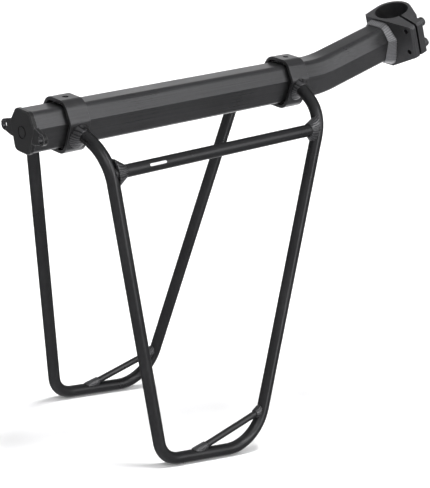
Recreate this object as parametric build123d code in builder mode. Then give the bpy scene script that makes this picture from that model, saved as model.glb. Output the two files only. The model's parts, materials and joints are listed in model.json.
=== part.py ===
"""Seatpost-mounted bicycle rear rack: a hollow beam with a split seatpost clamp, and a welded
pannier frame of two rod hoops carried on two rings that slide along the beam.

Millimetres, +Z up, +X towards the front of the bicycle, +Y to its left. The origin is the
centre of the seatpost bore, and the rack stands with the bottoms of both hoops level.
"""

from build123d import *

import os
from math import cos, radians, sin, sqrt

os.makedirs("parts", exist_ok=True)

# ---- attitude -------------------------------------------------------------------------
beam_rise = 9.4  # the beam climbs towards the seatpost when the hoops stand level
front_bend = 13.8  # further climb of the beam's front section
clamp_lean = 20.0  # seatpost axis, leaning back from the beam's own upright

# ---- beam -----------------------------------------------------------------------------
top_z = 12.0  # flat top above the widest line
top_half = 9.2  # half-width of the top where its corners would meet
side_half = 16.1  # half-width at the sharp side edges
bottom_z = -21.6
bottom_half = 9.2
top_corner = 5.5
side_corner = 0.8
bottom_corner = 4.5
beam_wall = 2.0
bend_at = 309.5  # distance of the bend's corner from the beam's rear end
bend_radius = 110.0
front_length = 86.0  # from the bend's corner to the clamp's rear face

# ---- seatpost clamp -------------------------------------------------------------------
post_radius = 15.45  # for a 30.9 mm seatpost
post_back = 18.2  # seatpost centre in front of the clamp's rear face
clamp_wall = 2.7
clamp_top = 17.4
clamp_bottom = -29.5
clamp_corner = 2.2  # bevel of the block's left rear corner
clamp_near = 41.5  # the flanges' ends, to the right of the middle
flange_front = 17.3  # seat of the bolt heads
slot_width = 2.4
slot_angle = 16.0  # the slot sweeps back towards the flanges' ends
bolt_y = -33.8
bolt_z = (12.0, -9.0)
bolt_radius = 2.5
thread_play = 0.04  # radial, on every screw that turns
bolt_head_radius = 4.25
bolt_head_height = 5.0

# ---- end cap --------------------------------------------------------------------------
cap_thickness = 4.0
cap_margin = 0.7
plug_depth = 14.0
plug_play = 0.05
ear_spacing = 50.0
ear_z = -5.3
ear_radius = 4.7
ear_thickness = 3.6
insert_radius = 3.4
insert_recess = 0.5
light_screw_radius = 2.5
mark_radii = (4.4, 5.2)  # plain ring engraved on the cap
mark_depth = 0.4

# ---- rings ----------------------------------------------------------------------------
ring_length = 19.0
ring_x = (37.0, 273.0)
ring_gap = 2.2
ring_wall = 2.8
liner_length = 11.0
liner_play = 0.1  # running clearance on the beam
grub_radius = 2.5
grub_length = 4.2

# ---- hoops ----------------------------------------------------------------------------
rod_radius = 5.3
brace_radius = 2.9
hoop_root_y = 14.0  # where the hoop ends' axes start, inside the rings' outlines
hoop_root_z = (-4.5, -1.2)
hoop_y = 51.8  # distance of a leg from the middle, at the height of the beam's side edges
splay = 0.089  # outward per unit of drop
rear_leg_slope = -0.16
front_leg_slope = 0.28
foot_z = -273.5
foot_slope = -0.165
shoulder_z = -20.4
shoulder_radius = 35.0
rear_foot_radius = 24.0
front_foot_radius = 37.0
crossbar_z = -33.0
crossbar_out = 0.4  # the crossbars sit this much outside the hoops' middle planes
brace_ends = ((111.3, -291.9), (197.0, -273.4))

# ---- weld beads -----------------------------------------------------------------------
clamp_bead_length = 7.5  # along the beam, from the clamp's rear face
clamp_bead_height = 6.0  # how far its root stands off the beam, inside the clamp's outline
ring_bead_length = 12.5  # along the rod, from its end inside the ring
ring_bead_width = 11.5
ring_bead_drop = 5.5  # most of the bead is below the rod
bead_lip = 0.25  # a bead's thickness where it runs out on a rod
bead_sink = 2.5  # how far a bead's root lies below the hoop's surface


def beam_turned(angle):
    """The beam's own X and Z directions, turned up by an angle in the beam's middle plane."""
    a = radians(angle)
    return Vector(cos(a), 0, sin(a)), Vector(-sin(a), 0, cos(a))


# Key points, in the beam's own axes: X along it from its rear end, Z square to its flat top.
along_front, up_front = beam_turned(front_bend)
along_clamp, up_clamp = beam_turned(clamp_lean)
bend_corner = Vector(bend_at, 0, 0)
clamp_foot = bend_corner + along_front * front_length
clamp_side = post_radius + clamp_wall
post_middle_z = (clamp_top + clamp_bottom) / 2
post_centre = clamp_foot + along_clamp * post_back + up_clamp * post_middle_z

world_x, world_z = beam_turned(beam_rise)
level_beam = Plane(origin=(0, 0, 0), x_dir=world_x, z_dir=world_z)
beam_axes = Plane(origin=-level_beam.from_local_coords(post_centre), x_dir=world_x, z_dir=world_z)


def on_beam(plane):
    """A plane given in the beam's own axes."""
    return Plane(beam_axes.location * plane.location)


def at(x, y, z):
    """A point given in the beam's own axes."""
    return beam_axes.from_local_coords(Vector(x, y, z))


def across_beam(x):
    return on_beam(Plane(origin=(x, 0, 0), x_dir=(0, 1, 0), z_dir=(1, 0, 0)))


def across_front(length):
    """A plane square to the beam's front section, a length on from the bend's corner."""
    centre = bend_corner + along_front * length
    return on_beam(Plane(origin=centre, x_dir=(0, 1, 0), z_dir=along_front))


clamp_axes = on_beam(Plane(origin=clamp_foot, x_dir=along_clamp, z_dir=up_clamp))
clamp_rear = on_beam(Plane(origin=clamp_foot, x_dir=(0, 1, 0), z_dir=along_clamp))


def clamp_plane(height):
    return Plane(clamp_axes.location * Location((0, 0, height)))


def beam_outline(sketch, grow=0.0):
    """The beam's six-sided section, grown evenly outwards, or inwards when grow is negative."""
    Polygon(
        (top_half, top_z), (side_half, 0), (bottom_half, bottom_z),
        (-bottom_half, bottom_z), (-side_half, 0), (-top_half, top_z), align=None,
    )
    corners = sketch.vertices()
    fillet([v for v in corners if v.Y > 5], top_corner)
    fillet([v for v in sketch.vertices() if abs(v.X) > side_half - 0.1], side_corner)
    fillet([v for v in sketch.vertices() if v.Y < bottom_z + 0.1], bottom_corner)
    if grow:
        offset(amount=grow)


def rounded_path(points, radii):
    """A wire through points, with each inner corner rounded to its own radius."""
    with BuildLine() as path:
        last = points[0]
        for before, corner, after, radius in zip(points, points[1:], points[2:], radii):
            back = (before - corner).normalized()
            on = (after - corner).normalized()
            half_cos = (back + on).length / 2
            half_sin = sqrt(1 - half_cos**2)
            reach = radius * half_cos / half_sin
            start = corner + back * reach
            end = corner + on * reach
            middle = corner + (back + on).normalized() * (radius / half_sin - radius)
            Line(last, start)
            ThreePointArc(start, middle, end)
            last = end
        Line(last, points[-1])
    return path.wire()


# ---- beam: one bent, hollow extrusion, cut off square to the seatpost ------------------
beam_path = rounded_path(
    [at(0, 0, 0), beam_axes.from_local_coords(bend_corner),
     beam_axes.from_local_coords(clamp_foot + along_front * 15)], [bend_radius],
)

with BuildPart() as beam:
    with BuildSketch(across_beam(0)) as beam_outer:
        beam_outline(beam_outer)
    sweep(path=beam_path)
    with BuildSketch(across_beam(0)) as beam_inner:
        beam_outline(beam_inner, -beam_wall)
    sweep(path=beam_path, mode=Mode.SUBTRACT)
    split(bisect_by=clamp_rear, keep=Keep.BOTTOM)

# ---- seatpost clamp: one block, split on its right-hand side ---------------------------
with BuildPart() as clamp_body:
    with BuildSketch(clamp_plane(clamp_bottom)) as clamp_profile:
        with Locations((post_back, 0)):
            Circle(clamp_side)
        Polygon(
            (0, clamp_side - clamp_corner), (clamp_corner, clamp_side), (post_back, clamp_side),
            (post_back, 0),
            (flange_front - 3, -clamp_near), (1.5, -clamp_near), (0, -clamp_near + 1.5), align=None,
        )
        Polygon(
            (post_back, 0), (post_back + 15.6, -9.5), (flange_front + 4.5, -28.3),
            (flange_front, -29.2), (flange_front, -clamp_near + 3), (flange_front - 3, -clamp_near),
            align=None,
        )
    extrude(amount=clamp_top - clamp_bottom)
    with BuildSketch(clamp_rear) as clamp_underside:
        Polygon(
            (-9, clamp_bottom), (-9, clamp_bottom - 8), (-60, clamp_bottom - 8),
            (-60, clamp_bottom + 25.5), align=None,
        )
    extrude(amount=50, mode=Mode.SUBTRACT)
    with BuildSketch(clamp_rear) as clamp_shoulder:
        Polygon(
            (-clamp_near + 3, clamp_top + 1), (-clamp_near - 1, clamp_top + 1),
            (-clamp_near - 1, clamp_top - 3), align=None,
        )
    extrude(amount=50, mode=Mode.SUBTRACT)
    with BuildSketch(clamp_plane(clamp_bottom)) as seatpost_bore:
        with Locations((post_back, 0)):
            Circle(post_radius)
    extrude(amount=clamp_top - clamp_bottom, mode=Mode.SUBTRACT)
    with BuildSketch(clamp_plane(clamp_bottom)) as clamp_slot:
        with Locations(Location((post_back, 0), -90 - slot_angle)):
            with Locations((30, 0)):
                Rectangle(60, slot_width)
    extrude(amount=clamp_top - clamp_bottom, mode=Mode.SUBTRACT)
    with BuildSketch(clamp_rear) as bolt_holes:
        with Locations(*[(bolt_y, z) for z in bolt_z]):
            Circle(bolt_radius)
    extrude(amount=30, mode=Mode.SUBTRACT)

# ---- clamp bolts: socket-head cap screws, heads to the front ---------------------------
def clamp_bolt(z):
    """A socket-head screw along the clamp, its head seated on the front flange."""
    seat = Plane(clamp_rear.location * Location((bolt_y, z, flange_front)))
    with BuildPart() as screw:
        with BuildSketch(seat) as head:
            Circle(bolt_head_radius)
        extrude(amount=bolt_head_height)
        fillet(screw.faces().sort_by(Axis(seat.origin, seat.z_dir))[-1].edges(), 0.6)
        with BuildSketch(Plane(seat.location * Location((0, 0, bolt_head_height - 2.6)))) as socket:
            RegularPolygon(radius=2.0, side_count=6, major_radius=False)
        extrude(amount=5, mode=Mode.SUBTRACT)
        with BuildSketch(seat) as shank:
            Circle(bolt_radius - thread_play)
        extrude(amount=-(flange_front - 3))
    return screw


clamp_bolt_upper = clamp_bolt(bolt_z[0])
clamp_bolt_lower = clamp_bolt(bolt_z[1])

# ---- weld bead between beam and clamp --------------------------------------------------
with BuildPart() as clamp_weld:
    with BuildSketch(across_front(front_length + 3)) as weld_root:
        beam_outline(weld_root, clamp_bead_height)
    with BuildSketch(across_front(front_length - clamp_bead_length)) as weld_toe:
        beam_outline(weld_toe, 0.5)
    loft()
    split(bisect_by=clamp_rear, keep=Keep.BOTTOM)
    with BuildSketch(across_front(front_length - clamp_bead_length - 1)) as weld_inside:
        beam_outline(weld_inside)
    extrude(amount=20, mode=Mode.SUBTRACT)

# ---- end cap: a plate with two lamp ears and a plug inside the beam --------------------
with BuildPart() as end_cap:
    with BuildSketch(across_beam(0)) as cap_plate:
        beam_outline(cap_plate, cap_margin)
    extrude(amount=-cap_thickness)
    chamfer(end_cap.faces().sort_by(Axis(at(0, 0, 0), -world_x))[-1].edges(), 0.8)
    with BuildSketch(across_beam(0)) as ears:
        with Locations((0, ear_z)):
            SlotCenterToCenter(ear_spacing, 2 * ear_radius)
        Polygon((-18, ear_z + 7), (18, ear_z + 7), (24, ear_z + ear_radius),
                (24, ear_z - ear_radius), (16, ear_z - 6.5), (-16, ear_z - 6.5),
                (-24, ear_z - ear_radius), (-24, ear_z + ear_radius), align=None)
    extrude(amount=-ear_thickness)
    with BuildSketch(across_beam(0)) as plug:
        beam_outline(plug, -beam_wall - plug_play)
    extrude(amount=plug_depth)
    with BuildSketch(across_beam(3)) as plug_hollow:
        beam_outline(plug_hollow, -beam_wall - 2)
    extrude(amount=plug_depth, mode=Mode.SUBTRACT)
    with BuildSketch(across_beam(-ear_thickness - 1)) as insert_holes:
        with Locations((-ear_spacing / 2, ear_z), (ear_spacing / 2, ear_z)):
            Circle(insert_radius)
    extrude(amount=ear_thickness + 2, mode=Mode.SUBTRACT)
    with BuildSketch(across_beam(-cap_thickness)) as cap_ring_mark:
        with Locations((0, ear_z)):
            Circle(mark_radii[1])
            Circle(mark_radii[0], mode=Mode.SUBTRACT)
    extrude(amount=mark_depth, mode=Mode.SUBTRACT)

# ---- threaded inserts in the ears ------------------------------------------------------
with BuildPart() as light_inserts:
    with BuildSketch(across_beam(-ear_thickness + insert_recess)) as insert_rings:
        with Locations((-ear_spacing / 2, ear_z), (ear_spacing / 2, ear_z)):
            Circle(insert_radius)
            Circle(light_screw_radius, mode=Mode.SUBTRACT)
    extrude(amount=ear_thickness - insert_recess)


# ---- rings, liners and grub screws -----------------------------------------------------
def ring(x):
    with BuildPart() as made:
        with BuildSketch(across_beam(x - ring_length / 2)) as outside:
            beam_outline(outside, ring_gap + ring_wall)
        extrude(amount=ring_length)
        with BuildSketch(across_beam(x - ring_length / 2)) as inside:
            beam_outline(inside, ring_gap)
        extrude(amount=ring_length, mode=Mode.SUBTRACT)
        with BuildSketch(on_beam(Plane(origin=(x, 0, top_z), z_dir=(0, 0, 1)))) as hole:
            Circle(grub_radius)
        extrude(amount=10, mode=Mode.SUBTRACT)
    return made


def liner(x):
    with BuildPart() as made:
        with BuildSketch(across_beam(x - liner_length / 2)) as outside:
            beam_outline(outside, ring_gap)
        extrude(amount=liner_length)
        with BuildSketch(across_beam(x - liner_length / 2)) as inside:
            beam_outline(inside, liner_play)
        extrude(amount=liner_length, mode=Mode.SUBTRACT)
        with BuildSketch(on_beam(Plane(origin=(x, 0, top_z - 0.5), z_dir=(0, 0, 1)))) as hole:
            Circle(grub_radius)
        extrude(amount=10, mode=Mode.SUBTRACT)
    return made


def grub_screw(x):
    """A socket grub screw down through the ring and its liner, its tip just off the beam."""
    tip = on_beam(Plane(origin=(x, 0, top_z + liner_play), z_dir=(0, 0, 1)))
    with BuildPart() as made:
        with BuildSketch(tip) as body:
            Circle(grub_radius - thread_play)
        extrude(amount=grub_length)
        with BuildSketch(Plane(tip.location * Location((0, 0, grub_length - 2)))) as socket:
            RegularPolygon(radius=1.25, side_count=6, major_radius=False)
        extrude(amount=3, mode=Mode.SUBTRACT)
    return made


rear_ring, front_ring = ring(ring_x[0]), ring(ring_x[1])
rear_liner, front_liner = liner(ring_x[0]), liner(ring_x[1])
rear_grub_screw, front_grub_screw = grub_screw(ring_x[0]), grub_screw(ring_x[1])


# ---- hoops: one bent rod a side, from ring to ring -------------------------------------
def leg_point(z, rear):
    """A point on a right-hand leg's straight line, as (x, y, z) in the beam's axes."""
    x = ring_x[0] + rear_leg_slope * z if rear else ring_x[1] + front_leg_slope * z
    return Vector(x, -(hoop_y - splay * z), z)


def foot_corner(rear):
    """Where a leg's line meets the foot's line."""
    start, slope = (ring_x[0], rear_leg_slope) if rear else (ring_x[1], front_leg_slope)
    z = (foot_z + foot_slope * start) / (1 - foot_slope * slope)
    return leg_point(z, rear)


hoop_points = [
    Vector(ring_x[0], -hoop_root_y, hoop_root_z[0]), leg_point(shoulder_z, True), foot_corner(True),
    foot_corner(False), leg_point(shoulder_z, False), Vector(ring_x[1], -hoop_root_y, hoop_root_z[1]),
]
hoop_radii = [shoulder_radius, rear_foot_radius, front_foot_radius, shoulder_radius]


def mirrored(point, side):
    return at(point.X, -side * point.Y, point.Z)


def hoop_path(side):
    return rounded_path([mirrored(p, side) for p in hoop_points], hoop_radii)


def rod(start, end, radius):
    """A straight round rod between two points."""
    with BuildPart() as made:
        with BuildSketch(Plane(origin=start, z_dir=end - start)):
            Circle(radius)
        extrude(amount=(end - start).length)
    return made


def hoop(side):
    """side is +1 for the left, -1 for the right."""
    path = hoop_path(side)
    with BuildPart() as made:
        with BuildSketch(Plane(origin=path @ 0, z_dir=path % 0)):
            Circle(rod_radius)
        sweep(path=path)
        for x in ring_x:
            with BuildSketch(across_beam(x - ring_length)) as outside:
                beam_outline(outside, ring_gap + ring_wall)
            extrude(amount=2 * ring_length, mode=Mode.SUBTRACT)
    return made


left_hoop, right_hoop = hoop(1), hoop(-1)


# ---- crossbars and foot braces, coped to the hoops -------------------------------------
def side_bar(side, start, end, radius, hoop_made):
    bar = rod(mirrored(start, side), mirrored(end, side), radius)
    with BuildPart() as made:
        add(bar.part)
        add(hoop_made.part, mode=Mode.SUBTRACT)
    return made


bar_y = -(hoop_y - splay * crossbar_z) + crossbar_out
bar_start = Vector(leg_point(crossbar_z, True).X + 1, bar_y, crossbar_z)
bar_end = Vector(leg_point(crossbar_z, False).X - 1, bar_y, crossbar_z)
left_crossbar = side_bar(1, bar_start, bar_end, rod_radius, left_hoop)
right_crossbar = side_bar(-1, bar_start, bar_end, rod_radius, right_hoop)

brace_start, brace_end = [Vector(x, -(hoop_y - splay * z), z) for x, z in brace_ends]
left_foot_brace = side_bar(1, brace_start, brace_end, brace_radius, left_hoop)
right_foot_brace = side_bar(-1, brace_start, brace_end, brace_radius, right_hoop)


# ---- weld beads ------------------------------------------------------------------------
def weld(root, toe, taken):
    """A bead lofted from an oval on one member to a collar on the other, hugging both.

    root is (plane, half-length, half-width), toe is (plane, radius), and taken are the
    finished pieces that it is moulded round.
    """
    with BuildPart() as made:
        with BuildSketch(root[0]):
            Ellipse(root[1], root[2])
        with BuildSketch(toe[0]):
            Circle(toe[1])
        loft()
        for piece in taken:
            add(piece, mode=Mode.SUBTRACT)
    return made


def bar_weld(side, start, on, member, radius, long, reach, taken):
    """A bead where a bar leaves a hoop.

    start is where their axes meet, on a point further along the bar, and member a point
    further along the hoop; all three are on the right-hand side.
    """
    start, on, member = [mirrored(p, side) for p in (start, on, member)]
    bar_dir = (on - start).normalized()
    hoop_dir = (member - start).normalized()
    out = (bar_dir - hoop_dir * bar_dir.dot(hoop_dir)).normalized()
    steep = bar_dir.dot(out)
    low = start + bar_dir * ((rod_radius - bead_sink) / steep)
    high = start + bar_dir * (rod_radius / steep + reach)
    root = (Plane(origin=low, x_dir=hoop_dir, z_dir=out), long, radius + 0.9)
    toe = (Plane(origin=high, x_dir=hoop_dir, z_dir=bar_dir), radius + bead_lip)
    return weld(root, toe, taken)


def ring_weld(side, x, hoop_made):
    """A bead where a hoop's end meets a ring's side."""
    root_z = hoop_root_z[ring_x.index(x)]
    start = mirrored(Vector(x, -hoop_root_y, root_z), side)
    shoulder = mirrored(leg_point(shoulder_z, x == ring_x[0]), side)
    rod_dir = (shoulder - start).normalized()
    foot = mirrored(Vector(x, -hoop_root_y - bead_sink, root_z - ring_bead_drop), side)
    half = ring_length / 2 - 0.3
    root = (Plane(origin=foot, x_dir=world_x, z_dir=(0, side, 0)), half, ring_bead_width)
    toe_at = start + rod_dir * ring_bead_length
    toe = (Plane(origin=toe_at, x_dir=world_x, z_dir=rod_dir), rod_radius + bead_lip)
    with BuildPart() as ring_solid:
        with BuildSketch(across_beam(x - ring_length)) as outside:
            beam_outline(outside, ring_gap + ring_wall)
        extrude(amount=2 * ring_length)
    return weld(root, toe, [ring_solid.part, hoop_made.part])


def grouped(pieces):
    with BuildPart() as made:
        for piece in pieces:
            add(piece.part)
    return made


rear_leg_on, front_leg_on = leg_point(-200, True), leg_point(-200, False)
sides = ((1, left_hoop, left_crossbar, left_foot_brace),
         (-1, right_hoop, right_crossbar, right_foot_brace))
ring_welds = grouped([ring_weld(s, x, h) for s, h, c, f in sides for x in ring_x])
crossbar_welds = grouped(
    [bar_weld(s, bar_start, bar_end, rear_leg_on, rod_radius, 12, 6, [h.part, c.part])
     for s, h, c, f in sides]
    + [bar_weld(s, bar_end, bar_start, front_leg_on, rod_radius, 12, 5, [h.part, c.part])
       for s, h, c, f in sides]
)
brace_welds = grouped(
    [bar_weld(s, brace_start, brace_end, foot_corner(False), brace_radius, 10, 5, [h.part, f.part])
     for s, h, c, f in sides]
    + [bar_weld(s, brace_end, brace_start, front_leg_on, brace_radius, 8, 4, [h.part, f.part])
       for s, h, c, f in sides]
)

nodes = {
    "beam": beam, "clamp_body": clamp_body, "clamp_bolt_upper": clamp_bolt_upper,
    "clamp_bolt_lower": clamp_bolt_lower, "clamp_weld": clamp_weld, "end_cap": end_cap,
    "light_inserts": light_inserts, "rear_ring": rear_ring, "front_ring": front_ring,
    "rear_liner": rear_liner, "front_liner": front_liner, "rear_grub_screw": rear_grub_screw,
    "front_grub_screw": front_grub_screw, "left_hoop": left_hoop, "right_hoop": right_hoop,
    "left_crossbar": left_crossbar, "right_crossbar": right_crossbar,
    "left_foot_brace": left_foot_brace, "right_foot_brace": right_foot_brace,
    "ring_welds": ring_welds, "crossbar_welds": crossbar_welds, "brace_welds": brace_welds,
}
for name, made in nodes.items():
    made.part.label = name
    export_step(made.part, f"parts/{name}.step")
    print(name, len(made.part.solids()), round(made.part.volume), made.part.is_valid)
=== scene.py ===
"""Looks for the seatpost-mounted rear rack: finishes, weld beads, screws, lamp inserts and studio.

Everything is in metres, in the CAD model's own frame: +X to the front, +Y left, +Z up.
"""

import json
from math import atan2, ceil, cos, floor, pi, radians, sin

import bmesh
import bpy
from mathutils import Matrix, Vector

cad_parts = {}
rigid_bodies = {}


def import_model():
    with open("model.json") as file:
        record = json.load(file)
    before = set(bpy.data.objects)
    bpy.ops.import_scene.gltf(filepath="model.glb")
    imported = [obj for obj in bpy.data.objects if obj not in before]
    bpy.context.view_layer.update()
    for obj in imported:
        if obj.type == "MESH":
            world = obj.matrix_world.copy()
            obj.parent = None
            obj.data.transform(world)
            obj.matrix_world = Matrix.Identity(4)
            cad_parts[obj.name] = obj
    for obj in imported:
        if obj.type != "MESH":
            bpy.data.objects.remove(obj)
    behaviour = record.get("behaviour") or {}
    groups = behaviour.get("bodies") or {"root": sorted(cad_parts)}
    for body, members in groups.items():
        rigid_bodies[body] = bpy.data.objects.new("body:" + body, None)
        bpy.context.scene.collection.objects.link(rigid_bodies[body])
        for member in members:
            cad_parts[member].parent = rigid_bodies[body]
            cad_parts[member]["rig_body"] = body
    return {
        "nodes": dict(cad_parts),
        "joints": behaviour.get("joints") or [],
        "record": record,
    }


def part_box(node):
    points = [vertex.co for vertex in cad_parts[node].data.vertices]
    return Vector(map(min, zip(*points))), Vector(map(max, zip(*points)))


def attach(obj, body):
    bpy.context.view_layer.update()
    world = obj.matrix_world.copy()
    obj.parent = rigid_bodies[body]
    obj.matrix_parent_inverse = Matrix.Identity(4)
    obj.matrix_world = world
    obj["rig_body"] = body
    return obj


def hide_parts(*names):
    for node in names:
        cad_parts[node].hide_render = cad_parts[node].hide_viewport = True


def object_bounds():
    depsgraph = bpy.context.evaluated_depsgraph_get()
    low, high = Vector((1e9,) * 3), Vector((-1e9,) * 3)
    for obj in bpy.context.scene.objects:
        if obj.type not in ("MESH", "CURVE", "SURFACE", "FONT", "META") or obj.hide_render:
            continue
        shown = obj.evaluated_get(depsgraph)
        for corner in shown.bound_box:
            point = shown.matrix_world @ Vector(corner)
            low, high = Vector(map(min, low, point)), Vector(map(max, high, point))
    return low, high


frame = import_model()
cad_low, cad_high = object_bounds()
nodes = frame["nodes"]
joints = {joint["name"]: joint for joint in frame["joints"]}
mounts = {mount["name"]: mount for mount in frame["record"]["mounts"]}
MM = 0.001
CREST = "crest"  # how high a vertex lies on a weld's ripples, from 0 to 1
EDGE_REACH = 0.6 * MM  # how far edge wear, and the plastic's painted edge highlight, reach from an edge

left = Vector((0, 1, 0))
along_beam = Vector(joints["frame_slide"]["axis"]).normalized()
beam_rise = atan2(along_beam.z, along_beam.x)
floor_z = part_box("right_hoop")[0].z
rack_middle = (cad_low + cad_high) / 2


# ---- camera ---------------------------------------------------------------------------
def add_camera():
    """Looking forwards and to the left from behind the rack's right-hand side, rolled a little."""
    camera = bpy.data.objects.new("camera", bpy.data.cameras.new("camera"))
    camera.data.sensor_fit = "VERTICAL"
    camera.data.sensor_height = 24.0
    camera.data.lens = 77.39
    camera.data.clip_end = 100
    camera.location = (-1.1111, -0.9762, 0.1564)
    camera.rotation_euler = [radians(angle) for angle in (75.118, -9.338, -41.087)]
    bpy.context.scene.collection.objects.link(camera)
    bpy.context.scene.camera = camera


add_camera()


# ---- materials ------------------------------------------------------------------------
class Finish:
    """One material's node tree, with short calls for adding and joining its nodes."""

    def __init__(self, name, **sockets):
        self.material = bpy.data.materials.new(name)
        self.material.use_nodes = True
        self.tree = self.material.node_tree
        self.shader = self.tree.nodes["Principled BSDF"]
        self.place = self.add("TexCoord").outputs["Object"]
        self.set(self.shader, sockets)

    def set(self, node, sockets):
        for name, value in sockets.items():
            socket = node.inputs[name if isinstance(name, int) else name.replace("_", " ")]
            if isinstance(value, bpy.types.NodeSocket):
                self.tree.links.new(value, socket)
            else:
                socket.default_value = value

    def add(self, kind, settings=None, sockets=None, **more):
        node = self.tree.nodes.new("ShaderNode" + kind)
        for name, value in (settings or {}).items():
            setattr(node, name, value)
        self.set(node, {**(sockets or {}), **more})
        return node

    def coordinates(self, feature, rise=0.0):
        """Coordinates in units of a feature's size, along axes turned up by rise."""
        turned = self.add("Mapping", {"vector_type": "TEXTURE"}, Vector=self.place,
                          Rotation=(0, -rise, 0), Scale=feature)
        return turned.outputs["Vector"]

    def noise(self, feature, rise=0.0, detail=3.0, roughness=0.5):
        """Noise from 0 to 1 whose features measure feature, in metres along the three axes."""
        if not isinstance(feature, tuple):
            feature = (feature, feature, feature)
        noise = self.add("TexNoise", Vector=self.coordinates(feature, rise), Scale=1.0,
                         Detail=detail, Roughness=roughness)
        return noise.outputs["Fac"]

    def span(self, value, low, high, from_low=0.3, from_high=0.7):
        """A value moved from one range to another, and kept in it."""
        return self.add("MapRange", {"clamp": True}, sockets={
            "Value": value, "From Min": from_low, "From Max": from_high,
            "To Min": low, "To Max": high}).outputs["Result"]

    def maths(self, operation, a, b):
        return self.add("Math", {"operation": operation}, sockets={0: a, 1: b}).outputs[0]

    def vector(self, operation, a, b=None, output="Vector"):
        sockets = {0: a} if b is None else {0: a, 1: b}
        return self.add("VectorMath", {"operation": operation}, sockets=sockets).outputs[output]

    def mix(self, factor, a, b):
        """From colour a at factor 0 to colour b at factor 1."""
        blend = self.add("Mix", {"data_type": "RGBA"}, sockets={0: factor, 6: a, 7: b})
        return blend.outputs[2]

    def bump(self, height, depth, under=None):
        """A bump of that depth in metres, over another one if given."""
        sockets = {"Height": height, "Distance": depth, "Strength": 1.0}
        if under is not None:
            sockets["Normal"] = under
        return self.add("Bump", sockets=sockets).outputs["Normal"]

    def edges(self, radius):
        """1 on the object's sharp edges, falling to 0 a radius away from them."""
        rounded = self.add("Bevel", {"samples": 4}, Radius=radius).outputs["Normal"]
        plain = self.add("NewGeometry").outputs["Normal"]
        agreement = self.vector("DOT_PRODUCT", rounded, plain, "Value")
        return self.span(agreement, 1.0, 0.0, 0.86, 0.995)


def grey(level):
    """A grey with a touch of blue."""
    return (level, level, level * 1.03, 1.0)


def coated_metal(name, level, rough, grain, grain_depth, wear=0.35, streaks=0.0, rim=0.9):
    """Satin black coated or anodised aluminium.

    level is the coat's brightness, grain the size of its texture, streaks how strongly fine
    lines run along the beam, as they do on an extrusion, and rim how bright the coat gets
    where it turns away from the eye.
    """
    cloud_size, mottle_size, line_size, line_depth = 0.045, 0.0035, (0.09, 0.0007, 0.0007), 6e-6
    finish = Finish(name, Metallic=0.85)
    finish.shader.inputs["Specular Tint"].default_value = (rim, rim, rim, 1.0)
    cloud = finish.noise(cloud_size, detail=4.0)
    mottle = finish.noise(mottle_size, detail=2.0)
    colour = finish.mix(finish.span(cloud, 0.0, 1.0), grey(level * 0.86), grey(level * 1.14))
    colour = finish.mix(finish.span(mottle, 0.0, 0.35), colour, grey(level * 0.8))
    shine = finish.span(cloud, rough - 0.05, rough + 0.05)
    texture = finish.noise(grain, detail=2.0, roughness=0.6)
    normal = finish.bump(texture, grain_depth)
    if streaks:
        lines = finish.noise(line_size, beam_rise, detail=3.0, roughness=0.65)
        colour = finish.mix(finish.span(lines, 0.0, streaks), colour, grey(level * 1.5))
        shine = finish.maths("ADD", shine, finish.span(lines, -0.05, 0.05))
        normal = finish.bump(lines, line_depth, normal)
    worn = finish.maths("MULTIPLY", finish.edges(EDGE_REACH), finish.span(mottle, wear * 0.4, wear))
    bare_metal = grey(0.32)
    colour = finish.mix(worn, colour, bare_metal)
    finish.set(finish.shader, {"Base Color": colour, "Roughness": shine, "Normal": normal})
    return finish.material


def weld_metal(name, level, rough, valley_shade):
    """The coat over a weld bead, with painted highlights on the ripples' crests and painted shade in
    the valleys.
    """
    finish = Finish(name, Metallic=0.85)
    finish.shader.inputs["Specular Tint"].default_value = (0.9, 0.9, 0.9, 1.0)
    crest = finish.add("Attribute", {"attribute_name": CREST}).outputs["Fac"]
    spatter = finish.noise(0.0009, detail=3.0)
    # painted light: crests painted paler as highlights, valleys painted darker as shade
    height = finish.span(crest, 0.0, 1.0, 0.15, 0.9)
    colour = finish.mix(height, grey(level * valley_shade), grey(level * 1.3))
    colour = finish.mix(finish.span(spatter, 0.0, 0.4), colour, grey(level * 0.6))
    finish.set(finish.shader, {
        "Base Color": colour, "Roughness": finish.span(spatter, rough - 0.06, rough + 0.06),
        "Normal": finish.bump(spatter, 3e-5)})
    return finish.material


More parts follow.
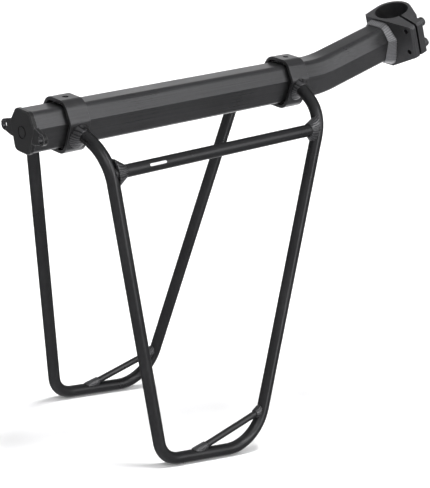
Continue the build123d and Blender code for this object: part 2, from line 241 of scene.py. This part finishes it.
def moulded_plastic(name, level, rough, grain, ring=None):
    """Matte black plastic with a spark-eroded grain, painted paler along its edges: a painted
    highlight over their wear.

    ring is (centre, axis, radius, width) of an engraved line, painted dark as shade in its groove.
    """
    finish = Finish(name)
    finish.shader.inputs["Specular IOR Level"].default_value = 0.3
    cloud = finish.noise(0.012, detail=3.0)
    texture = finish.noise(grain, detail=3.0, roughness=0.7)
    colour = finish.mix(finish.span(cloud, 0.0, 1.0), grey(level * 0.85), grey(level * 1.15))
    colour = finish.mix(finish.span(texture, 0.0, 0.5), colour, grey(level * 1.5))
    edge_wear_and_highlight = finish.edges(EDGE_REACH)
    if ring:
        centre, axis, radius, width = ring
        offset = finish.vector("SUBTRACT", finish.place, centre)
        away = finish.vector("LENGTH", finish.vector("CROSS_PRODUCT", offset, axis), output="Value")
        from_line = finish.maths("ABSOLUTE", finish.maths("SUBTRACT", away, radius), 0.0)
        in_line = finish.span(from_line, 1.0, 0.0, width / 2, width)
        clear_of_ring = finish.span(away, 0.0, 1.0, radius + width, radius + 2 * width)
        edge_wear_and_highlight = finish.maths("MULTIPLY", edge_wear_and_highlight, clear_of_ring)
        # painted shade: the engraved groove is painted near black
        painted_groove_shade = grey(level * 0.1)
        colour = finish.mix(in_line, colour, painted_groove_shade)
    # painted highlight: the edges are painted far paler than worn black plastic, over their wear
    pale_wear_and_highlight = grey(level * 18.0)
    colour = finish.mix(edge_wear_and_highlight, colour, pale_wear_and_highlight)
    finish.set(finish.shader, {
        "Base Color": colour, "Roughness": finish.span(texture, rough - 0.06, rough + 0.08),
        "Normal": finish.bump(texture, 3e-5)})
    return finish.material


def screw_steel(name, level, rough, wear):
    """Turned steel, black-oxided or plated, brighter where it has been rubbed."""
    finish = Finish(name, Metallic=1.0)
    spots = finish.noise(0.0012, detail=3.0)
    fine = finish.noise(0.00025, detail=2.0)
    colour = finish.mix(finish.span(spots, 0.0, 1.0), grey(level * 0.75), grey(level * 1.25))
    worn = finish.maths("MULTIPLY", finish.edges(0.35 * MM), finish.span(spots, wear * 0.3, wear))
    bare_steel = grey(0.45)
    colour = finish.mix(worn, colour, bare_steel)
    finish.set(finish.shader, {
        "Base Color": colour, "Roughness": finish.span(spots, rough - 0.07, rough + 0.07),
        "Normal": finish.bump(fine, 1e-5)})
    return finish.material


def printed_mark(name):
    """Pale ink over the coat's texture, thin in places."""
    finish = Finish(name, Roughness=0.55)
    thin = finish.noise(0.0008, detail=3.0)
    full_ink, thin_ink = grey(0.62), grey(0.38)
    colour = finish.mix(finish.span(thin, 0.0, 0.5), full_ink, thin_ink)
    finish.set(finish.shader, {"Base Color": colour, "Normal": finish.bump(thin, 1e-5)})
    return finish.material


lamp_holes = [Vector(mounts[side + "_light_hole"]["pos_m"]) for side in ("left", "right")]
ring_radius, ring_width = 4.8 * MM, 0.8 * MM
cap_ring = ((lamp_holes[0] + lamp_holes[1]) / 2, along_beam, ring_radius, ring_width)

materials = {
    "black_beam": coated_metal("black_beam", level=0.072, rough=0.34, grain=0.0006,
                               grain_depth=8e-6, streaks=0.5),
    "black_clamp": coated_metal("black_clamp", level=0.1, rough=0.36, grain=0.0007,
                                grain_depth=1.2e-5, wear=0.6),
    "black_rod": coated_metal("black_rod", level=0.055, rough=0.31, grain=0.0011,
                              grain_depth=1.8e-5, wear=0.25, rim=0.4),
    "black_weld": weld_metal("black_weld", level=0.095, rough=0.32, valley_shade=0.15),
    # the clamp's bead is painted paler than the clamp's coat: a painted highlight for its lit top
    "clamp_weld": weld_metal("clamp_weld", level=0.23, rough=0.34, valley_shade=0.6),
    "cap_plastic": moulded_plastic("cap_plastic", level=0.009, rough=0.36, grain=0.0005,
                                   ring=cap_ring),
    "liner_plastic": moulded_plastic("liner_plastic", level=0.012, rough=0.6, grain=0.0006),
    # the inserts' plated steel is painted dark: painted shade down the lamp holes
    "plated_insert": screw_steel("plated_insert", level=0.12, rough=0.32, wear=0.6),
    "black_screw": screw_steel("black_screw", level=0.08, rough=0.3, wear=0.9),
    "printed_mark": printed_mark("printed_mark"),
}


def paint(piece, slot):
    piece.data.materials.clear()
    piece.data.materials.append(materials[slot])


def add_piece(mesh, name, body, slot, replaced=(), smooth_angle=35):
    """A finished piece of the object, riding on its body in place of CAD nodes."""
    piece = bpy.data.objects.new(name, mesh)
    bpy.context.scene.collection.objects.link(piece)
    mesh.shade_smooth()
    mesh.set_sharp_from_angle(angle=radians(smooth_angle))
    paint(piece, slot)
    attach(piece, body)
    if replaced:
        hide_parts(*replaced)
    return piece


for subpart in frame["record"]["subparts"]:
    paint(nodes[subpart["node"]], subpart["material_slot"])


# ---- CAD nodes whose edges are broken --------------------------------------------------
def broken_edges(node, slot, width, segments=3):
    """A copy of a CAD node with small round-overs along its sharp edges."""
    shape = bmesh.new()
    shape.from_mesh(nodes[node].data)
    bmesh.ops.remove_doubles(shape, verts=shape.verts, dist=2e-6)
    bmesh.ops.dissolve_limit(shape, angle_limit=radians(0.5), verts=shape.verts, edges=shape.edges)
    sharp = [e for e in shape.edges if len(e.link_faces) == 2 and e.calc_face_angle() > radians(25)]
    bmesh.ops.bevel(shape, geom=sharp, offset=width, offset_type="WIDTH", segments=segments,
                    profile=0.5, affect="EDGES", clamp_overlap=True)
    bmesh.ops.triangulate(shape, faces=[f for f in shape.faces if len(f.verts) > 4])
    mesh = bpy.data.meshes.new(node + "_finished")
    shape.to_mesh(mesh)
    shape.free()
    piece = add_piece(mesh, node + "_finished", nodes[node]["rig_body"], slot, [node])
    even = piece.modifiers.new("flat_faces_stay_flat", "WEIGHTED_NORMAL")
    even.weight = 100
    even.keep_sharp = True


for node, slot, width in (
    ("clamp_body", "black_clamp", 0.5 * MM), ("end_cap", "cap_plastic", 0.35 * MM),
    ("rear_ring", "black_beam", 0.35 * MM), ("front_ring", "black_beam", 0.35 * MM),
):
    broken_edges(node, slot, width)


# ---- weld beads ------------------------------------------------------------------------
def even_copy(node, voxel, rounds):
    """A CAD node's shape as one even, softened skin, in bmesh."""
    source = bpy.data.objects.new(node + "_even", nodes[node].data.copy())
    bpy.context.scene.collection.objects.link(source)
    remesh = source.modifiers.new("even", "REMESH")
    remesh.mode = "VOXEL"
    remesh.voxel_size = voxel
    graph = bpy.context.evaluated_depsgraph_get()
    mesh = bpy.data.meshes.new_from_object(source.evaluated_get(graph))
    bpy.data.objects.remove(source)
    shape = bmesh.new()
    shape.from_mesh(mesh)
    bpy.data.meshes.remove(mesh)
    for _ in range(rounds):
        bmesh.ops.smooth_vert(shape, verts=shape.verts, factor=0.5, use_axis_x=True,
                              use_axis_y=True, use_axis_z=True)
    return shape


def islands(shape):
    """The shape's connected groups of vertices."""
    left_over = set(shape.verts)
    groups = []
    while left_over:
        group, edge = set(), [left_over.pop()]
        while edge:
            vert = edge.pop()
            group.add(vert)
            for link in vert.link_edges:
                other = link.other_vert(vert)
                if other in left_over:
                    left_over.remove(other)
                    edge.append(other)
        groups.append(sorted(group, key=lambda v: v.index))
    return sorted(groups, key=lambda g: g[0].index)


def running_round(axis, pitch):
    """The phase of ripples left by a weld that runs round an axis."""
    across = axis.cross(Vector((0.3, 1, 0.2))).normalized()
    upward = axis.cross(across)

    def phase(arm, reach):
        angle = atan2(arm.dot(upward), arm.dot(across))
        lean = arm.dot(axis) / reach
        count = max(8, round(2 * pi * reach / pitch))
        return angle * count / (2 * pi) + 0.9 * lean * lean + 0.2 * sin(5 * angle)

    return phase


def running_along(travel, across, pitch):
    """The phase of ripples left by a weld that runs along a line."""
    def phase(arm, reach):
        side = arm.dot(across) / reach
        return arm.dot(travel) / pitch - 0.8 * side * side + 0.25 * side + 0.1 * sin(9 * side)

    return phase


def ripple(shape, group, phase_at, height, swell):
    """Swells a bead and raises it into the overlapping crescents of a weld.

    A ripple climbs gently on one side and drops off steeply on the other.
    """
    crests = shape.verts.layers.float[CREST]
    centre = sum((v.co for v in group), Vector()) / len(group)
    reach = sum((v.co - centre).length for v in group) / len(group)
    for vert in group:
        phase = phase_at(vert.co - centre, reach)
        step = phase - floor(phase)
        vert[crests] = 1 - (2 * step - 1) ** 2 if step < 0.5 else 1 - (2 * step - 1) ** 4
    for vert, normal in [(v, v.normal.copy()) for v in group]:
        vert.co += normal * (swell + height * (vert[crests] - 0.6))


def weld_bead(node, run_of, height, swell, voxel, slot="black_weld"):
    """A CAD node's beads with ripples of that height, on a skin swelled and gridded as given.

    run_of gives the ripples' phase for a bead whose middle is at a point.
    """
    shape = even_copy(node, voxel, rounds=3)
    shape.verts.layers.float.new(CREST)
    shape.verts.index_update()
    shape.normal_update()
    for group in islands(shape):
        centre = sum((v.co for v in group), Vector()) / len(group)
        ripple(shape, group, run_of(centre), height, swell)
    mesh = bpy.data.meshes.new(node + "_rippled")
    shape.to_mesh(mesh)
    shape.free()
    add_piece(mesh, node + "_rippled", nodes[node]["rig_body"], slot, [node], 80)


def rising(node):
    """The direction of a bar that climbs to the front, from its own box."""
    low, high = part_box(node)
    return Vector((high.x - low.x, 0, high.z - low.z)).normalized()


def down_ring(centre):
    """A ring's bead runs down the ring's side, past the rod's end."""
    outward = 1 if centre.y > 0 else -1
    travel = Vector((0, -0.35 * outward, -1)).normalized()
    return running_along(travel, along_beam, pitch=2.1 * MM)


def round_bar(node, pitch):
    """A bar's beads run round its ends."""
    return lambda centre: running_round(rising(node), pitch)


# the clamp's bead runs round the beam's bent front end
post_axis = Vector(mounts["seatpost_clamp"]["axis"])
front_axis = (left.cross(post_axis) + along_beam * 0.3).normalized()
weld_bead("clamp_weld", lambda centre: running_round(front_axis, 1.7 * MM),
          height=0.22 * MM, swell=0.1 * MM, voxel=0.4 * MM, slot="clamp_weld")
weld_bead("ring_welds", down_ring, height=0.42 * MM, swell=0.25 * MM, voxel=0.4 * MM)
weld_bead("crossbar_welds", round_bar("right_crossbar", 1.9 * MM),
          height=0.26 * MM, swell=0.25 * MM, voxel=0.4 * MM)
weld_bead("brace_welds", round_bar("right_foot_brace", 1.5 * MM),
          height=0.2 * MM, swell=0.7 * MM, voxel=0.3 * MM)


# ---- turned pieces: screws and inserts -------------------------------------------------
SCREW_RADIUS = 2.46 * MM  # M5, a little under size
THREAD_PITCH = 0.8 * MM


def turned(rings, turns=72, closed=False):
    """A mesh swept round Z from rings of (radius, height).

    A radius or a height may be a function of the angle. The first and last rings are capped,
    or joined to each other when closed is true.
    """
    shape = bmesh.new()
    loops = []
    for radius, height in rings:
        loop = []
        for i in range(turns):
            angle = 2 * pi * i / turns
            r = radius(angle) if callable(radius) else radius
            h = height(angle) if callable(height) else height
            loop.append(shape.verts.new((r * cos(angle), r * sin(angle), h)))
        loops.append(loop)
    pairs = list(zip(loops, loops[1:])) + ([(loops[-1], loops[0])] if closed else [])
    for low, high in pairs:
        for i in range(turns):
            j = (i + 1) % turns
            shape.faces.new((low[i], low[j], high[j], high[i]))
    if not closed:
        shape.faces.new(list(reversed(loops[0])))
        shape.faces.new(loops[-1])
    bmesh.ops.recalc_face_normals(shape, faces=shape.faces)
    return shape


def facing(origin, axis):
    """The matrix that lays Z along an axis, from an origin."""
    return Matrix.Translation(origin) @ axis.to_track_quat("Z", "Y").to_matrix().to_4x4()


def add_turned(shape, place, name, body, slot, replaced, angle=35):
    mesh = bpy.data.meshes.new(name)
    shape.transform(place)
    shape.to_mesh(mesh)
    shape.free()
    return add_piece(mesh, name, body, slot, replaced, angle)


def hexagon(across_flats):
    """A hexagon's radius, as a function of the angle."""
    return lambda angle: across_flats / 2 / cos((angle + pi / 6) % (pi / 3) - pi / 6)


def thread(low, high, crest, root, rows_a_turn=8):
    """Rings of a helical thread between two heights, cut from crest down to root."""
    rows = ceil((high - low) / THREAD_PITCH * rows_a_turn)
    rings = []
    for row in range(rows + 1):
        height = low + (high - low) * row / rows

        def radius(angle, height=height):
            phase = (height / THREAD_PITCH - angle / (2 * pi)) % 1
            return root + (crest - root) * min(1, 2.4 * min(phase, 1 - phase))

        rings.append((radius, height))
    return rings


def cap_screw(node, joint):
    """A socket-head cap screw with a knurled head, along its own joint's axis."""
    head_radius, head_height, shank_length = 4.25 * MM, 5.0 * MM, 14.3 * MM
    socket = hexagon(4.0 * MM)

    def knurl(angle):
        return head_radius - 0.11 * MM * (1 - cos(30 * angle))

    rings = [(1.9 * MM, -shank_length)]
    rings += thread(-shank_length + 0.5 * MM, -0.6 * MM, SCREW_RADIUS, SCREW_RADIUS - 0.4 * MM)
    rings += [
        (SCREW_RADIUS, -0.3 * MM), (SCREW_RADIUS, 0), (head_radius - 0.3 * MM, 0),
        (head_radius - 0.15 * MM, 0.15 * MM), (head_radius - 0.15 * MM, 0.4 * MM), (knurl, 0.55 * MM),
        (knurl, head_height - 1.1 * MM), (head_radius - 0.12 * MM, head_height - 0.95 * MM),
        (head_radius - 0.12 * MM, head_height - 0.6 * MM),
        (head_radius - 0.3 * MM, head_height - 0.2 * MM),
        (head_radius - 0.6 * MM, head_height), (2.75 * MM, head_height),
        (lambda angle: socket(angle) * 1.04, head_height - 0.25 * MM),
        (socket, head_height - 0.35 * MM), (socket, head_height - 2.6 * MM),
    ]
    place = facing(Vector(joint["pos_m"]), Vector(joint["axis"]))
    add_turned(turned(rings, 120), place, node + "_detailed", joint["child"], "black_screw", [node])


def set_screw(node, joint):
    """A socket grub screw with its hexagon showing down the hole."""
    low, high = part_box(node)
    length = 4.2 * MM
    socket = hexagon(2.5 * MM)
    rings = [(1.6 * MM, 0), (2.1 * MM, 0.35 * MM)]
    rings += thread(0.4 * MM, length - 0.5 * MM, SCREW_RADIUS, SCREW_RADIUS - 0.35 * MM)
    rings += [(2.05 * MM, length), (lambda angle: socket(angle) * 1.08, length),
              (socket, length - 0.2 * MM), (socket, length - 2.0 * MM)]
    axis = Vector(joint["axis"])
    middle = (low + high) / 2
    place = facing(middle - axis * (length / 2), axis)
    add_turned(turned(rings, 72), place, node + "_detailed", joint["child"], "black_screw", [node])


def lamp_inserts():
    """Threaded bushes in the cap's ears, with a broken edge at the mouth."""
    shape = bmesh.new()
    length, outside = 3.1 * MM, 3.38 * MM
    for mount in (mounts["left_light_hole"], mounts["right_light_hole"]):
        inside = thread(0.45 * MM, length - 0.5 * MM, 2.75 * MM, 2.5 * MM)
        rings = [(3.0 * MM, 0)] + inside + [
            (2.95 * MM, length), (outside - 0.25 * MM, length), (outside, length - 0.25 * MM),
            (outside, 0.2 * MM), (outside - 0.2 * MM, 0)]
        axis = Vector(mount["axis"])
        bush = turned(rings, 64, closed=True)
        bush.transform(facing(Vector(mount["pos_m"]) - axis * (length / 2), axis))
        part = bpy.data.meshes.new("bush")
        bush.to_mesh(part)
        bush.free()
        shape.from_mesh(part)
        bpy.data.meshes.remove(part)
    add_turned(shape, Matrix.Identity(4), "light_inserts_threaded", "rack", "plated_insert",
               ["light_inserts"])


cap_screw("clamp_bolt_upper", joints["upper_bolt_turn"])
cap_screw("clamp_bolt_lower", joints["lower_bolt_turn"])
set_screw("rear_grub_screw", joints["rear_grub_turn"])
set_screw("front_grub_screw", joints["front_grub_turn"])
lamp_inserts()


# ---- a plain printed dash on the right-hand crossbar -----------------------------------
def crossbar_dash():
    """A rounded dash, wrapped on the rod's surface near its rear end."""
    half_length, half_width, facing_up = 8.5 * MM, 1.15 * MM, radians(27)
    from_rear_end, ink_height, narrowest = 42 * MM, 0.03 * MM, 0.05
    rail = mounts["right_pannier_rail"]
    axis = Vector(rail["axis"])
    low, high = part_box("right_crossbar")
    radius = (high.y - low.y) / 2 + ink_height
    centre = Vector(rail["pos_m"])
    centre += axis * ((low.x + from_rear_end - centre.x) / axis.x)
    out = -left
    up = axis.cross(left)
    columns, rows = 40, 8
    shape = bmesh.new()
    grid = []
    for i in range(columns + 1):
        s = -1 + 2 * i / columns
        end = max(0.0, abs(s) * half_length - (half_length - half_width)) / half_width
        width = half_width * max(1 - end * end, narrowest ** 2) ** 0.5
        line = []
        for j in range(rows + 1):
            angle = facing_up + width * (-1 + 2 * j / rows) / radius
            line.append(shape.verts.new(centre + axis * (s * half_length)
                                        + (out * cos(angle) + up * sin(angle)) * radius))
        grid.append(line)
    for a, b in zip(grid, grid[1:]):
        for j in range(rows):
            shape.faces.new((a[j], b[j], b[j + 1], a[j + 1]))
    mesh = bpy.data.meshes.new("crossbar_dash")
    shape.to_mesh(mesh)
    shape.free()
    add_piece(mesh, "crossbar_dash", "side_frame", "printed_mark")


crossbar_dash()


# ---- studio ----------------------------------------------------------------------------
def add_floor():
    """A white sweep: a flat disc with its rim curved up all round, out of every view."""
    flat, rise, steps = 5.0, 3.0, 12
    profile = [(0.02, 0.0), (1.0, 0.0), (flat, 0.0)]
    for step in range(1, steps + 1):
        angle = pi / 2 * step / steps
        profile.append((flat + rise * sin(angle), rise * (1 - cos(angle))))
    shape = turned(profile, 96)
    shape.faces.ensure_lookup_table()
    lid = shape.faces[-1]
    bmesh.ops.delete(shape, geom=[lid], context="FACES")
    mesh = bpy.data.meshes.new("floor")
    shape.to_mesh(mesh)
    shape.free()
    mesh.shade_smooth()
    sweep = bpy.data.objects.new("floor", mesh)
    sweep.location = (-0.2, 0, floor_z)
    sweep.visible_glossy = False
    bpy.context.scene.collection.objects.link(sweep)
    finish = Finish("pale_floor", Roughness=0.9)
    finish.shader.inputs["Specular IOR Level"].default_value = 0.1
    tone = finish.noise(0.4, detail=2.0)
    pale = finish.mix(tone, (0.88, 0.88, 0.88, 1), (0.9, 0.9, 0.9, 1))
    finish.set(finish.shader, {"Base Color": pale})
    mesh.materials.append(finish.material)


def add_sky(stops, glow_from, glow):
    """A grey surround, seen only in reflections, with one brighter patch.

    stops are (height from -1 to 1, level); the patch is glow brighter, in one direction.
    """
    world = bpy.data.worlds.new("surround")
    bpy.context.scene.world = world
    world.use_nodes = True
    world.cycles.sampling_method = "NONE"
    tree = world.node_tree

    def add(kind, links=(), **settings):
        node = tree.nodes.new("ShaderNode" + kind)
        for name, value in settings.items():
            setattr(node, name, value)
        for socket, source in links:
            tree.links.new(source, node.inputs[socket])
        return node

    direction = add("TexCoord").outputs["Generated"]
    split = add("SeparateXYZ", [(0, direction)])
    level = add("MapRange", [("Value", split.outputs["Z"])])
    level.inputs["From Min"].default_value = -1.0
    ramp = add("ValToRGB", [("Fac", level.outputs["Result"])])
    near = add("VectorMath", [(0, direction)], operation="DOT_PRODUCT")
    near.inputs[1].default_value = Vector(glow_from).normalized()
    patch = add("MapRange", [("Value", near.outputs["Value"])], interpolation_type="SMOOTHSTEP")
    patch_rim, patch_core = 0.8, 0.97  # cosines of the angles from the patch's middle
    for name, value in (("From Min", patch_rim), ("From Max", patch_core), ("To Max", glow)):
        patch.inputs[name].default_value = value
    total = add("VectorMath", [(0, ramp.outputs["Color"]), (1, patch.outputs["Result"])],
                operation="ADD")
    tree.links.new(total.outputs["Vector"], tree.nodes["Background"].inputs["Color"])
    for height, _ in stops[2:]:
        ramp.color_ramp.elements.new((height + 1) / 2)
    for element, (height, tone) in zip(ramp.color_ramp.elements, sorted(stops)):
        element.position = (height + 1) / 2
        element.color = grey(tone)


def add_sun(tilt_x, tilt_y, strength, spread):
    """A broad even light; the tilts lean it from straight above."""
    sun = bpy.data.objects.new("sun", bpy.data.lights.new("sun", "SUN"))
    sun.data.energy = strength
    sun.data.angle = radians(spread)
    sun.rotation_euler = (radians(tilt_x), radians(tilt_y), 0)
    sun.visible_glossy = False
    bpy.context.scene.collection.objects.link(sun)


def add_panel(name, direction, distance, size, radiance):
    """A soft box facing the middle of the rack from a direction."""
    light = bpy.data.lights.new(name, "AREA")
    light.shape = "RECTANGLE"
    light.size, light.size_y = size
    light.energy = radiance * pi * size[0] * size[1]
    panel = bpy.data.objects.new(name, light)
    away = Vector(direction).normalized()
    panel.location = rack_middle + away * distance
    panel.rotation_euler = away.to_track_quat("Z", "Y").to_euler()
    panel.visible_camera = False
    bpy.context.scene.collection.objects.link(panel)


add_floor()
add_sky(((-1.0, 0.7), (-0.7, 0.34), (-0.3, 0.36), (0.0, 0.32), (0.25, 0.28), (0.6, 0.2), (1.0, 0.4)),
        glow_from=(0.62, 0.40, -0.66), glow=1.5)
for lean in (-50, -25, 25, 50):
    add_sun(tilt_x=0, tilt_y=lean, strength=0.14, spread=36)
add_sun(tilt_x=2.5, tilt_y=0, strength=3.0, spread=13)
add_panel("back_panel", (0.55, 0.70, 0.36), 3.2, (2.4, 1.0), 1.15)
add_panel("key_panel", (-0.55, -0.62, 0.50), 2.8, (1.8, 1.6), 1.6)
add_panel("top_panel", (0.08, 0.72, 0.70), 3.0, (1.2, 1.1), 1.1)
add_panel("strip_panel", (0.13, -0.76, 0.64), 2.5, (0.35, 2.0), 7.0)
add_panel("right_panel", (0.54, -0.72, 0.42), 2.6, (0.9, 1.6), 1.75)
add_panel("low_panel", (0.14, -0.98, 0.02), 2.4, (0.4, 1.6), 5.0)
bpy.context.scene.view_settings.view_transform = "Standard"
